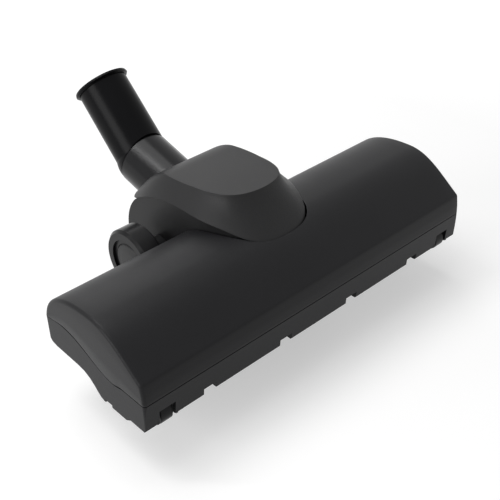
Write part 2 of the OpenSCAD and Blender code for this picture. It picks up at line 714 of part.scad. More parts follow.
// Tilting neck: round shell about the tilt axis, side plates, trunnions and elbow tube
swivel_depth = 14;
module elbow() {
    color(shell_grey) placed() difference() {
        union() {
            difference() {
                union() {
                    intersection() {
                        barrel(barrel_r, barrel_side_r, neck_x);
                        wedge(shelf_a, high_end_a, neck_x);
                    }
                    intersection() {
                        rod(pivot, low_r, -neck_x, neck_x);
                        wedge(low_end_a, shelf_a + 1, neck_x);
                    }
                    both() rod(pivot, 12, neck_x - neck_wall, neck_x);
                    elbow_pipe(elbow_r, 15, elbow_len - 0.3);
                }
                rod(pivot, low_r - neck_wall, -neck_x + neck_wall, neck_x - neck_wall);
                intersection() {
                    barrel(barrel_r - neck_wall, barrel_side_r - neck_wall, neck_x - neck_wall);
                    translate([0, -neck_wall * sin(shelf_a), neck_wall * cos(shelf_a)])
                        wedge(shelf_a, 130, neck_x);
                }
            }
            both() rod(pivot, trunnion_r, neck_x - neck_wall, trunnion_end);
        }
        elbow_pipe(swivel_r + 0.6, 0, elbow_len - swivel_depth + 1.8);
        elbow_pipe(swivel_r, 0, elbow_len + 1);
    }
}

// Round bar on the elbow axis between two distances from the tilt axis
module elbow_pipe(r, s0, s1) {
    c = pivot + elbow_off * above;
    translate([0, c.x, c.y]) rotate([elbow_rise - 90, 0, 0]) translate([0, 0, s0])
        cylinder(r = r, h = s1 - s0);
}

// Round bar on the axis of the upper tube between two distances from the swivel seam
module tube_pipe(r0, r1, t0, t1) {
    translate([0, seam_c.x, seam_c.y]) rotate([tube_dir - 90, 0, 0]) translate([0, 0, t0])
        cylinder(r1 = r0, r2 = r1, h = t1 - t0);
}

spigot_r = swivel_r - run;
spigot_wall = 1.8;
stop_r = socket_r - 1.6;
ring_r = swivel_r + 0.45;
groove_r = spigot_r - 0.7;
ring_w = 1.6;
ring_s = elbow_len - swivel_depth + 0.1;
module swivel_tube() {
    color(shell_grey) placed() difference() {
        union() {
            // Round start at the seam, straight tube and rim lip
            difference() {
                union() {
                    translate([0, seam_c.x, seam_c.y]) sphere(r = elbow_r - 0.2);
                    tube_pipe(tube_r + 0.45, tube_r, 0, tube_len);
                }
                elbow_pipe(elbow_r + 30, elbow_len - 40, elbow_len + 0.3);
            }
            tube_pipe(rim_r - 1.2, rim_r, tube_len - 2.6, tube_len - 1.4);
            tube_pipe(rim_r, rim_r - rim_edge, tube_len - 1.4, tube_len);
            elbow_pipe(spigot_r, elbow_len - swivel_depth - 1.4, elbow_len + 0.8);
        }
        // Air way through the spigot and the bend, stop shoulder and wand socket
        translate([0, seam_c.x, seam_c.y]) sphere(r = spigot_r - spigot_wall + 0.4);
        elbow_pipe(spigot_r - spigot_wall, elbow_len - swivel_depth - 4, elbow_len);
        tube_pipe(stop_r, stop_r, 0, tube_len);
        tube_pipe(socket_r, socket_r, tube_len - socket_len, tube_len + 1);
        // Groove of the retaining ring
        difference() {
            elbow_pipe(spigot_r + 2, ring_s, ring_s + ring_w + 0.1);
            elbow_pipe(groove_r, ring_s - 1, ring_s + ring_w + 1);
        }
    }
}
module swivel_ring() {
    color(steel) placed() difference() {
        elbow_pipe(ring_r, ring_s + 0.05, ring_s + ring_w);
        elbow_pipe(groove_r + fit, ring_s - 1, ring_s + ring_w + 1);
    }
}

// Rear wheel on the +X side, as a turned section: [radius, distance from the inner face]
hub_r = axle_r + 3.5;
cap_r = 13.9;
ring_in_r = 17.2;
module rear_wheel() {
    f = wheel_w;
    translate([wheel_x - wheel_w, pivot.x, pivot.y]) rotate([0, 90, 0]) rotate_extrude($fn = 128)
        polygon([[axle_r + run, 0], [hub_r, 0], [hub_r, f - 7.5], [wheel_r - 3, f - 7.5], [wheel_r - 3, 0],
            [wheel_r - 0.8, 0], [wheel_r, 0.8], [wheel_r, f - 2], [wheel_r - 1.8, f], [ring_in_r, f],
            [ring_in_r, f - 1.7], [cap_r + 0.3, f - 1.7], [cap_r + 0.3, f - 2.4], [hub_r + 2, f - 2.4],
            [hub_r + 2, f - 4.1], [axle_r + run, f - 4.1]]);
}
module wheel_cap() {
    translate([wheel_x - 2.3, pivot.x, pivot.y]) rotate([0, 90, 0]) rotate_extrude($fn = 96)
        polygon([[0, 0], [cap_r, 0], [cap_r, 0.6], [cap_r - 0.7, 1.2], [cap_r * 0.6, 1.6], [0, 1.8]]);
}

// Brush roll: core, tufts in two V-shaped helical rows, pulley and end pins
core_end = block_x - 0.8;
tuft_skip = belt_w / 2 + 2.6;
module brush_core() {
    color(inner_grey) placed() difference() {
        union() {
            rod(brush_c, core_r, -core_end, belt_x - belt_w / 2 - 1.1);
            rod(brush_c, core_r, belt_x + belt_w / 2 + 1.1, core_end);
            rod(brush_c, pulley_r - 3, belt_x - belt_w, belt_x + belt_w);
            both() rod(brush_c, core_r + 1, core_end - 1.6, core_end);
        }
        both() rod(brush_c, roll_pin_r + fit, core_end - 8, core_end + 1);
    }
}
module bristle_tufts() {
    step = (core_end - 5) / tufts;
    color(bristle_grey) placed()
        for (s = [-1, 1], row = [0, 180], i = [0:tufts - 1]) {
            x = s * (i + 0.5) * step;
            if (abs(x - belt_x) > tuft_skip + tuft_r)
                translate([x, brush_c.x, brush_c.y]) rotate([row + row_turn * (i + 0.5) / tufts, 0, 0])
                    translate([0, 0, core_r - 1]) cylinder(r = tuft_r, h = bristle_r - core_r + 1, $fn = 8);
        }
}
module brush_pulley() {
    color([0.8, 0.8, 0.78]) placed() pulley(brush_c, pulley_r, pulley_r - 3 + fit);
}
module brush_pins() {
    color(steel) placed() both() rod(brush_c, roll_pin_r, core_end - 8 + 0.1, mouth_w / 2 - 0.8);
}

// Turbine wheel with curved blades between two end discs and a middle disc
blade_w = 1.3;
module turbine_wheel() {
    half = turbine_w / 2;
    color([0.85, 0.85, 0.83]) placed() difference() {
        union() {
            rod(turbine_c, 6.5, -half, half);
            rod(turbine_c, turbine_r - 1.5, -0.8, 0.8);
            both() rod(turbine_c, turbine_r - 4, half - 1.2, half);
            along_x(-half, half) translate(turbine_c) intersection() {
                circle(r = turbine_r);
                for (i = [0:blades - 1]) rotate(360 * i / blades) blade();
            }
        }
        rod(turbine_c, shaft_r + fit, -half - 1, half + 1);
    }
}
module blade() {
    bend_r = turbine_r * 0.85;
    translate([6, bend_r]) difference() {
        intersection() {
            circle(r = bend_r);
            translate([0, -bend_r * 1.1]) square([turbine_r, bend_r]);
        }
        circle(r = bend_r - blade_w);
    }
}
module turbine_shaft() {
    color(steel) placed() rod(turbine_c, shaft_r, -plate_x - plate_w - 0.6, belt_x + belt_w / 2 + 1);
}
module turbine_pulley() {
    color([0.8, 0.8, 0.78]) placed() pulley(turbine_c, pinion_r, shaft_r + fit);
}

upper_housing();
rib_frame();
lower_housing();
turbine_cover();
joint_housing();
color(inner_grey) placed() mirror([1, 0, 0]) turbine_plate();  // turbine_plate_left
color(inner_grey) placed() turbine_plate();  // turbine_plate_right
color(steel) placed() mirror([1, 0, 0]) turbine_bearing();  // turbine_bearing_left
color(steel) placed() turbine_bearing();  // turbine_bearing_right
belt_guard();
drive_belt();
color(inner_grey) placed() mirror([1, 0, 0]) brush_bearing();  // brush_bearing_left
color(inner_grey) placed() brush_bearing();  // brush_bearing_right
color(steel) placed() mirror([1, 0, 0]) roller_pin();  // roller_pin_left
color(steel) placed() roller_pin();  // roller_pin_right
axle_clips();
housing_screws();
elbow();
swivel_tube();
swivel_ring();
color(shell_grey) placed() mirror([1, 0, 0]) rear_wheel();  // wheel_left
color(shell_grey) placed() rear_wheel();  // wheel_right
color(cover_grey) placed() mirror([1, 0, 0]) wheel_cap();  // wheel_cap_left
color(cover_grey) placed() wheel_cap();  // wheel_cap_right
color(inner_grey) placed() mirror([1, 0, 0]) front_roller();  // front_roller_left
color(inner_grey) placed() front_roller();  // front_roller_right
brush_core();
bristle_tufts();
brush_pulley();
brush_pins();
turbine_wheel();
turbine_shaft();
turbine_pulley();
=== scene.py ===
import math
import bmesh
import bpy
import numpy as np
from mathutils import Matrix, Vector


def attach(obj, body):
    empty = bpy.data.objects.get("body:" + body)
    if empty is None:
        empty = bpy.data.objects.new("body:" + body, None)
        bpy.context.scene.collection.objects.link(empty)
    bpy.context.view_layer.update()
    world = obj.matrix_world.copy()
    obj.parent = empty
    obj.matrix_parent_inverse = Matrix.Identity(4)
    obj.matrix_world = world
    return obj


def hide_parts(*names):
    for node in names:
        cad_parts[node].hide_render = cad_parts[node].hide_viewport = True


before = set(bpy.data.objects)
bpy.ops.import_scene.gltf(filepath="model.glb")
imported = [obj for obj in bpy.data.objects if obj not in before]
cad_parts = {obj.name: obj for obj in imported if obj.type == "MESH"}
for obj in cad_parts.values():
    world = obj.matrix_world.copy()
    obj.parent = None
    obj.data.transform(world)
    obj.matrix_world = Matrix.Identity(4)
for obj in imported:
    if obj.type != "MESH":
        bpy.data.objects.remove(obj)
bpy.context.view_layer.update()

MM = 0.001

# Sizes of the head, the cover and the neck in millimetres, as the part's source has them
HEAD_W, HEAD_D, CREST_H, CREST_Y, BAND_H = 280.0, 96.0, 62.2, 45.0, 38.4
WALL, END_ROUND, PARTING_H, PARTING_RISE = 2.4, 2.2, 25.3, 12.1
JOINT_X, PIVOT_Y, WHEEL_R = 36.0, 115.6, 24.0
ELBOW_RISE, ELBOW_OFF, ELBOW_LEN, ELBOW_R = math.radians(15.5), 12.5, 67.9, 20.3
BEND, TUBE_LEN, RIM_R, RIM_EDGE = math.radians(28.4), 63.2, 20.9, 0.4
COVER_H, COVER_FALL, COVER_WALL, COVER_FLARE, HOOD_FLARE = 84.0, 0.09, 2.0, 1.3, 0.7
BRUSH_Y, BRUSH_Z, BRISTLE_R, CORE_R, TUFT_R = 31.0, 21.6, 20.6, 11.5, 1.9
TUFTS, ROW_TURN, MOUTH_W, BELT_X, BELT_W = 13, 150.0, 224.0, 27.0, 4.6

ALONG = np.array([math.cos(ELBOW_RISE), math.sin(ELBOW_RISE)])
ABOVE = np.array([-math.sin(ELBOW_RISE), math.cos(ELBOW_RISE)])
SEAM = np.array([PIVOT_Y, WHEEL_R]) + ELBOW_LEN * ALONG + ELBOW_OFF * ABOVE
TUBE_DIR = ELBOW_RISE + BEND
RIM = SEAM + TUBE_LEN * np.array([math.cos(TUBE_DIR), math.sin(TUBE_DIR)])
HALF_D = (RIM[0] + (RIM_R - RIM_EDGE) * math.sin(TUBE_DIR)) / 2


def to_frame(points):
    """Millimetres with y from the head's front wall become metres in the shared frame."""
    p = np.array(points, float).reshape(-1, 3)
    return (p - np.array([0.0, HALF_D, 0.0])) * MM


def bezier(p, t):
    """Cubic Bezier curve through four side-view points at the values t."""
    p, t = np.array(p, float), np.asarray(t, float)[:, None]
    return (1 - t) ** 3 * p[0] + 3 * t * (1 - t) ** 2 * p[1] + 3 * t * t * (1 - t) * p[2] + t ** 3 * p[3]


def smooth(x, a, b):
    """Rises from 0 at a to 1 at b with level ends."""
    t = np.clip((x - a) / (b - a), 0, 1)
    return t * t * (3 - 2 * t)


# Meshes from grids


def grid_faces(rows, cols, start=0, flip=False, closed=False):
    """Quads between neighbouring points of a rows by cols grid; closed joins the last column to the first."""
    i, j = np.meshgrid(np.arange(rows - 1), np.arange(cols if closed else cols - 1), indexing="ij")
    k = (j + 1) % cols
    quads = np.stack([i * cols + j, i * cols + k, (i + 1) * cols + k, (i + 1) * cols + j], -1)
    quads = quads.reshape(-1, 4) + start
    return quads[:, ::-1] if flip else quads


def mesh_piece(name, points, faces, merge=0.00002):
    """A mesh object with its doubles merged and its normals outwards, in the shared frame."""
    mesh = bpy.data.meshes.new(name)
    if not isinstance(faces, list):
        faces = np.asarray(faces).tolist()
    mesh.from_pydata(np.asarray(points).tolist(), [], faces)
    bm = bmesh.new()
    bm.from_mesh(mesh)
    bmesh.ops.remove_doubles(bm, verts=bm.verts, dist=merge)
    bmesh.ops.dissolve_degenerate(bm, edges=bm.edges, dist=merge)
    bmesh.ops.recalc_face_normals(bm, faces=bm.faces)
    bm.to_mesh(mesh)
    bm.free()
    piece = bpy.data.objects.new(name, mesh)
    bpy.context.scene.collection.objects.link(piece)
    return piece


def apply_modifiers(piece, sharp=35.0):
    """Puts the modifiers' result into the mesh and marks as sharp what turns more than the angle."""
    dg = bpy.context.evaluated_depsgraph_get()
    mesh = bpy.data.meshes.new_from_object(piece.evaluated_get(dg))
    piece.modifiers.clear()
    piece.data = mesh
    mesh.polygons.foreach_set("use_smooth", np.ones(len(mesh.polygons), bool))
    mesh.set_sharp_from_angle(angle=math.radians(sharp))
    return piece


# Upper housing


def line_of(points):
    """Side-view line with its running length, for lookups by length or by distance from the front."""
    p = np.array(points, float)
    p = p[np.concatenate([[True], np.linalg.norm(np.diff(p, axis=0), axis=1) > 1e-6])]
    return p, np.concatenate([[0], np.cumsum(np.linalg.norm(np.diff(p, axis=0), axis=1))])


def outlines():
    """The head's top line and its parting line, as dense side-view points."""
    rear = [HEAD_D, PARTING_H + PARTING_RISE - 1.8]
    dip = 1.7
    t = np.linspace(0, 1, 33)
    top = np.concatenate([
        np.linspace([0, PARTING_H], [0.3, PARTING_H + 6], 5),
        np.linspace([0.3, PARTING_H + 6], [1.2, BAND_H - 0.6], 5),
        bezier([[1.2, BAND_H - 0.6], [1.5, BAND_H + 0.9], [1.9, BAND_H + 1.4], [2.8, BAND_H + 2]],
               np.linspace(0, 1, 9)),
        bezier([[2.8, BAND_H + 2], [17, BAND_H + 12.2], [CREST_Y - 16, CREST_H], [CREST_Y, CREST_H]], t),
        bezier([[CREST_Y, CREST_H], [CREST_Y + 21, CREST_H], [HEAD_D - 5, CREST_H - 4.7], rear], t)])
    part = np.concatenate([
        [[0, PARTING_H], [20, PARTING_H]],
        bezier([[20, PARTING_H], [23, PARTING_H], [25, PARTING_H - dip], [29, PARTING_H - dip]], t),
        bezier([[29, PARTING_H - dip], [45, PARTING_H - dip], [HEAD_D - 38, PARTING_H + PARTING_RISE],
                [HEAD_D - 17, PARTING_H + PARTING_RISE]], t),
        bezier([[HEAD_D - 17, PARTING_H + PARTING_RISE], [HEAD_D - 11, PARTING_H + PARTING_RISE],
                [rear[0] - 8, rear[1]], rear], t)])
    return line_of(top), line_of(part)


(TOP_LINE, TOP_RUN), (PART_LINE, _) = outlines()


def top_point(run, inset):
    """Point of the top line at a running length, moved inwards square to the line by the inset."""
    y, z = np.interp(run, TOP_RUN, TOP_LINE[:, 0]), np.interp(run, TOP_RUN, TOP_LINE[:, 1])
    h = 0.8
    a, b = np.clip(run - h, 0, TOP_RUN[-1]), np.clip(run + h, 0, TOP_RUN[-1])
    d = np.stack([np.interp(b, TOP_RUN, TOP_LINE[:, 0]) - np.interp(a, TOP_RUN, TOP_LINE[:, 0]),
                  np.interp(b, TOP_RUN, TOP_LINE[:, 1]) - np.interp(a, TOP_RUN, TOP_LINE[:, 1])])
    d /= np.linalg.norm(d, axis=0)
    return y + inset * d[1], z - inset * d[0]


RIM_X = JOINT_X + 1.2


def cutout_line(t):
    """Half plan of the head's cut-out: half width and distance from the front wall, for t from 0 to 3."""
    w = RIM_X
    a = bezier([[0, 30.4], [15.2, 30.4], [w - 13.2, 33.4], [w - 7.5, 45]], np.clip(t, 0, 1))
    b = bezier([[w - 7.5, 45], [w - 2.4, 55], [w, 66], [w, 80]], np.clip(t - 1, 0, 1))
    c = np.stack([np.full(len(t), w), 80 + (HEAD_D - 80) * np.clip(t - 2, 0, 1)], 1)
    return np.where((t < 1)[:, None], a, np.where((t < 2)[:, None], b, c))


def shell_half(inset, end_x, rounding, side):
    """Half of the upper housing's skin.

    Each row starts on the middle plane or on the cut-out's edge, runs out to the rounded end,
    and then down the end face to the parting line.
    """
    t = np.concatenate([np.linspace(0, 1, 25), np.linspace(1, 2, 17)[1:], np.linspace(2, 3, 9)[1:]])
    edge = cutout_line(t)
    run_edge = np.interp(edge[:, 1], TOP_LINE[:, 0], TOP_RUN)
    front = np.concatenate([
        np.linspace(0, 13.2, 9), np.linspace(13.2, 18.6, 12)[1:], np.linspace(18.6, run_edge[0], 22)[1:]])
    run_in = np.concatenate([front, run_edge[1:]])
    x_in = np.concatenate([np.zeros(len(front)), edge[1:, 0]])
    share = np.linspace(0, 1, len(run_in) - len(front) + 1)
    run_out = np.concatenate([front, front[-1] + (TOP_RUN[-1] - front[-1]) * share[1:]])
    v = np.concatenate([np.linspace(0, 0.12, 7), np.linspace(0.12, 1, 15)[1:]])
    x0 = end_x - rounding
    k = np.clip(v / 0.8, 0, 1) ** 0.8
    run = run_in[:, None] * (1 - k) + run_out[:, None] * k
    x = x_in[:, None] * (1 - v) + x0 * v
    y, z = top_point(run, inset)
    if inset:
        keep = smooth(y, 12, 24) * (1 - smooth(y, 62, 78))
        y_same = np.interp(run, TOP_RUN, TOP_LINE[:, 0])
        y_new = y * (1 - keep) + y_same * keep
        line_y, line_z = top_point(TOP_RUN, inset)
        z = np.where(keep > 0, np.interp(y_new, line_y[12:], line_z[12:]), z)
        y = y_new
    cols = [np.stack([x, y, z], -1)]
    if rounding:
        for a in np.radians([15, 30, 45, 60, 75, 90]):
            yr, zr = top_point(run_out, inset + rounding * (1 - math.cos(a)))
            cols.append(np.stack([np.full(len(yr), x0 + rounding * math.sin(a)), yr, zr], -1)[:, None])
    last = cols[-1][:, -1]
    low = last.copy()
    share = (last[:, 1] - last[0, 1]) / (last[-1, 1] - last[0, 1])
    low[:, 2] = np.interp(share * HEAD_D, PART_LINE[:, 0], PART_LINE[:, 1])
    low[0], low[-1] = last[0], last[-1]
    for s in (0.33, 0.66, 1.0):
        cols.append((last * (1 - s) + low * s)[:, None])
    g = np.concatenate(cols, 1)
    g[..., 0] *= side
    return g


def upper_shell():
    """Upper housing as an outer and an inner skin joined by strips along the cut-out and the parting line."""
    points, faces, n = [], [], 0
    for side in (1, -1):
        pair = []
        for inset, end_x, rounding in ((0.0, HEAD_W / 2, END_ROUND), (WALL, HEAD_W / 2 - WALL, 0.001)):
            g = shell_half(inset, end_x, rounding, side)
            pair.append((n, g.shape[:2]))
            points.append(g.reshape(-1, 3))
            faces.append(grid_faces(*g.shape[:2], start=n))
            n += g.shape[0] * g.shape[1]
        (a, (rows, cols)), (b, _) = pair
        ids = np.arange(rows * cols).reshape(rows, cols)
        for line in (ids[0], ids[-1], ids[:, -1], ids[40:, 0]):
            strip = np.stack([line[:-1] + a, line[1:] + a, line[1:] + b, line[:-1] + b], -1)
            faces.append(strip)
    return mesh_piece("upper_shell", to_frame(np.concatenate(points)), np.concatenate(faces))


# Turbine cover


def chain(parts, u):
    """Points of a row of Bezier curves, where the whole part of u says which curve."""
    out = np.zeros((len(u), 2))
    for i, p in enumerate(parts):
        hit = (u >= i) & (u <= i + 1)
        out[hit] = bezier(p, u[hit] - i)
    return out


def foot_line(u, w=JOINT_X + 2):
    """Half plan of the cover's foot for u from 0 at the front to 4 at the rear."""
    parts = [[[0, 31], [14, 31], [w - 15, 34.2], [w - 8.9, 46]],
             [[w - 8.9, 46], [w - 4, 55.5], [w, 66], [w, 80]],
             [[w, 80], [w, 116], [w, 134], [w - 4, 145]],
             [[w - 4, 145], [w - 8.5, 155], [18, 157.5], [0, 157.5]]]
    return chain(parts, u)


def crown_line(u, w=28.3):
    """Half plan of the crease round the cover's flat top for u from 0 at the front to 4 at the rear."""
    parts = [[[0, 51.5], [11, 51.5], [w - 8.5, 55.5], [w - 4.3, 64.5]],
             [[w - 4.3, 64.5], [w - 1.3, 71.5], [w - 0.4, 78], [w, 86]],
             [[w, 86], [w + 2, 102], [w + 1, 120], [w - 5, 134]],
             [[w - 5, 134], [w - 9, 144], [12, 149], [0, 149]]]
    return chain(parts, u)


def edge_points():
    """Side view of the cover's lower edge: sunk in the head in front, S-shaped over the cheeks."""
    t = np.linspace(0, 1, 25)
    return np.concatenate([
        bezier([[31, 57.6], [36, 60.2], [41, 61.6], [49, 64.2]], t),
        bezier([[49, 64.2], [58, 67], [70, 67.6], [88, 67.6]], t)[1:],
        bezier([[88, 67.6], [108, 67.6], [124, 62.8], [137, 54.2]], t)[1:],
        bezier([[137, 54.2], [142, 51], [147, 47.6], [157.5, 47.6]], t)[1:]])


EDGE = edge_points()


def crown_height(y):
    """Height of the flat top: a gentle fall, and a rounded drop behind the turbine."""
    return COVER_H - COVER_FALL * (y - 52) - 0.0182 * np.clip(y - 112, 0, None) ** 2


def cover_grid(rows=20, per=18):
    """Half wall of the cover: each column runs from the foot to the crown, with a concave share of height."""
    u = np.linspace(0, 4, 4 * per + 1)
    f, c = foot_line(u), crown_line(u)
    v = np.linspace(0, 1, rows)[:, None]
    flare = COVER_FLARE + (HOOD_FLARE - COVER_FLARE) * np.clip((u - 1.5) / 1.5, 0, 1)
    k = 1 - (1 - v) ** flare[None, :]
    z0 = np.interp(f[:, 1], EDGE[:, 0], EDGE[:, 1])
    z1 = crown_height(c[:, 1])
    x = f[:, 0] + (c[:, 0] - f[:, 0]) * k
    y = f[:, 1] + (c[:, 1] - f[:, 1]) * k
    z = z0 + (z1 - z0) * v
    return np.stack([x, y, z], -1)


def cover_shell():
    """Turbine cover: two mirrored walls and a ruled flat top, thickened inwards and cut free of the elbow."""
    wall = cover_grid()
    points, faces, n = [], [], 0
    for side in (1, -1):
        g = wall * np.array([side, 1, 1])
        points.append(g.reshape(-1, 3))
        faces.append(grid_faces(*g.shape[:2], start=n))
        n += g.shape[0] * g.shape[1]
    s = np.linspace(-1, 1, 25)[:, None]
    crown = wall[-1]
    roof = np.stack([crown[:, 0] * s, crown[:, 1] + 0 * s, crown[:, 2] + 0 * s], -1)
    points.append(roof.reshape(-1, 3))
    faces.append(grid_faces(*roof.shape[:2], start=n))
    piece = mesh_piece("teardrop_cover", to_frame(np.concatenate(points)), np.concatenate(faces))
    m = piece.modifiers.new("wall", "SOLIDIFY")
    m.thickness, m.offset = COVER_WALL * MM, -1
    cutter = bar("elbow_cut", ELBOW_R + 0.35, 0.0, 62.0, 144)
    m = piece.modifiers.new("elbow", "BOOLEAN")
    m.operation, m.object, m.solver = "DIFFERENCE", cutter, "EXACT"
    m = piece.modifiers.new("edges", "BEVEL")
    m.width, m.segments, m.limit_method, m.angle_limit = 0.45 * MM, 3, "ANGLE", math.radians(38)
    apply_modifiers(piece)
    bpy.data.objects.remove(cutter)
    return piece


def bar(name, r, back, fore, n):
    """Closed round bar on the elbow's axis, from behind the swivel seam forwards, with a slot below it."""
    a = np.linspace(0, 2 * math.pi, n, endpoint=False)
    rings = []
    for s in (ELBOW_LEN + back, ELBOW_LEN - fore):
        c = np.array([PIVOT_Y, WHEEL_R]) + s * ALONG + ELBOW_OFF * ABOVE
        up = np.where(np.sin(a) < 0, -60.0, r * np.sin(a))
        x = r * np.cos(a)
        rings.append(np.stack([x, c[0] + up * ABOVE[0], c[1] + up * ABOVE[1]], -1))
    pts = np.concatenate(rings)
    faces = grid_faces(2, n, closed=True).tolist() + [list(range(n)), list(range(2 * n - 1, n - 1, -1))]
    return mesh_piece(name, to_frame(pts), faces)


# Bristles


FIBRES, FIBRE_SEED = 34, 7
FIBRE_CORNERS = (0, 2.0944, 4.18879)
BEARING_DEPTH, BEARING_PLAY, MIDDLE_GAP = 4.2, 0.8, 5


def bristles():
    """Tufts of thin fibres on two V-shaped helical rows; each fibre is a tapered three-sided bar."""
    rng = np.random.default_rng(FIBRE_SEED)
    core_end = MOUTH_W / 2 - BEARING_DEPTH - BEARING_PLAY
    step = (core_end - MIDDLE_GAP) / TUFTS
    roots, tips = [], []
    for s in (-1, 1):
        for row in (0.0, 180.0):
            for i in range(TUFTS):
                x = s * (i + 0.5) * step
                if abs(x - BELT_X) <= BELT_W / 2 + 2.6 + TUFT_R:
                    continue
                turn = math.radians(row + ROW_TURN * (i + 0.5) / TUFTS)
                out = np.array([0, -math.sin(turn), math.cos(turn)])
                across = np.array([0, -math.cos(turn), -math.sin(turn)])
                r, a = TUFT_R * 0.82 * np.sqrt(rng.random(FIBRES)), 2 * math.pi * rng.random(FIBRES)
                dx, dt = r * np.cos(a), r * np.sin(a)
                base = np.array([x, BRUSH_Y, BRUSH_Z]) + out * (CORE_R - 1)
                root = base + 0.75 * (dx[:, None] * np.array([1, 0, 0]) + dt[:, None] * across)
                long = (BRISTLE_R - CORE_R + 1) * (1 - 0.05 * rng.random(FIBRES))[:, None]
                tip = base + dx[:, None] * np.array([1, 0, 0]) + dt[:, None] * across + out * long * 0.985
                roots.append(root)
                tips.append(tip)
    roots, tips = np.concatenate(roots), np.concatenate(tips)
    d = tips - roots
    d /= np.linalg.norm(d, axis=1)[:, None]
    e = np.cross(d, [1.0, 0.2, 0.1])
    e /= np.linalg.norm(e, axis=1)[:, None]
    g = np.cross(d, e)
    rings = []
    for share, radius in ((0, 0.2), (0.55, 0.19), (1, 0.1)):
        c = roots + (tips - roots) * share
        rings.append(np.stack([c + radius * (math.cos(q) * e + math.sin(q) * g) for q in FIBRE_CORNERS], 1))
    pts = np.stack(rings, 1)
    start = np.arange(len(roots))[:, None] * 9
    one = np.array([[0, 1, 4, 3], [1, 2, 5, 4], [2, 0, 3, 5], [3, 4, 7, 6], [4, 5, 8, 7], [5, 3, 6, 8]])
    quads = (start[:, :, None] + one[None]).reshape(-1, 4)
    tri = (start[:, :, None] + np.array([[6, 7, 8]])[None]).reshape(-1, 3)
    low = (start[:, :, None] + np.array([[2, 1, 0]])[None]).reshape(-1, 3)
    piece = mesh_piece("bristle_fibres", to_frame(pts), quads.tolist() + tri.tolist() + low.tolist(), 1e-7)
    piece.data.polygons.foreach_set("use_smooth", np.ones(len(piece.data.polygons), bool))
    return piece


# Materials


def moulded(name, colour, rough, grain=0.12, grain_size=0.55, mottle=0.12, specular=0.5, sparkle=0.0):
    """Moulded plastic: eroded grain as bump, faint flow mottling in colour and gloss, and fine light specks."""
    mat = bpy.data.materials.new(name)
    mat.use_nodes = True
    nt = mat.node_tree
    b = nt.nodes["Principled BSDF"]
    b.inputs["Specular IOR Level"].default_value = specular
    tex = nt.nodes.new("ShaderNodeTexCoord")
    flow = nt.nodes.new("ShaderNodeTexNoise")
    flow.inputs["Scale"].default_value = 26.0
    flow.inputs["Detail"].default_value = 5.0
    flow.inputs["Roughness"].default_value = 0.6
    nt.links.new(tex.outputs["Object"], flow.inputs["Vector"])
    fine = nt.nodes.new("ShaderNodeTexNoise")
    fine.inputs["Scale"].default_value = 1.0 / (grain_size * MM)
    fine.inputs["Detail"].default_value = 3.0
    fine.inputs["Roughness"].default_value = 0.65
    nt.links.new(tex.outputs["Object"], fine.inputs["Vector"])
    pits = nt.nodes.new("ShaderNodeTexVoronoi")
    pits.inputs["Scale"].default_value = 0.8 / (grain_size * MM)
    nt.links.new(tex.outputs["Object"], pits.inputs["Vector"])
    ramp = nt.nodes.new("ShaderNodeValToRGB")
    c = np.array(colour)
    lo, hi = c * (1 - mottle), np.minimum(c * (1 + mottle), 1)
    ramp.color_ramp.elements[0].position, ramp.color_ramp.elements[1].position = 0.3, 0.7
    ramp.color_ramp.elements[0].color = (*lo, 1)
    ramp.color_ramp.elements[1].color = (*hi, 1)
    nt.links.new(flow.outputs["Fac"], ramp.inputs["Fac"])
    speck = nt.nodes.new("ShaderNodeMapRange")
    speck.inputs["From Min"].default_value = 0.52
    speck.inputs["From Max"].default_value = 0.78
    speck.inputs["To Min"].default_value = 0.0
    speck.inputs["To Max"].default_value = sparkle
    nt.links.new(fine.outputs["Fac"], speck.inputs["Value"])
    mix = nt.nodes.new("ShaderNodeMix")
    mix.data_type = "RGBA"
    nt.links.new(speck.outputs["Result"], mix.inputs["Factor"])
    nt.links.new(ramp.outputs["Color"], mix.inputs["A"])
    mix.inputs["B"].default_value = (*np.minimum(c * 6 + 0.05, 1), 1)
    nt.links.new(mix.outputs["Result"], b.inputs["Base Color"])
    gloss = nt.nodes.new("ShaderNodeMapRange")
    gloss.inputs["To Min"].default_value = rough - 0.05
    gloss.inputs["To Max"].default_value = rough + 0.06
    nt.links.new(flow.outputs["Fac"], gloss.inputs["Value"])
    nt.links.new(gloss.outputs["Result"], b.inputs["Roughness"])
    total = nt.nodes.new("ShaderNodeMath")
    total.operation = "ADD"
    nt.links.new(fine.outputs["Fac"], total.inputs[0])
    nt.links.new(pits.outputs["Distance"], total.inputs[1])
    bump = nt.nodes.new("ShaderNodeBump")
    bump.inputs["Strength"].default_value = grain
    bump.inputs["Distance"].default_value = 0.12 * MM
    nt.links.new(total.outputs["Value"], bump.inputs["Height"])
    nt.links.new(bump.outputs["Normal"], b.inputs["Normal"])
    return mat


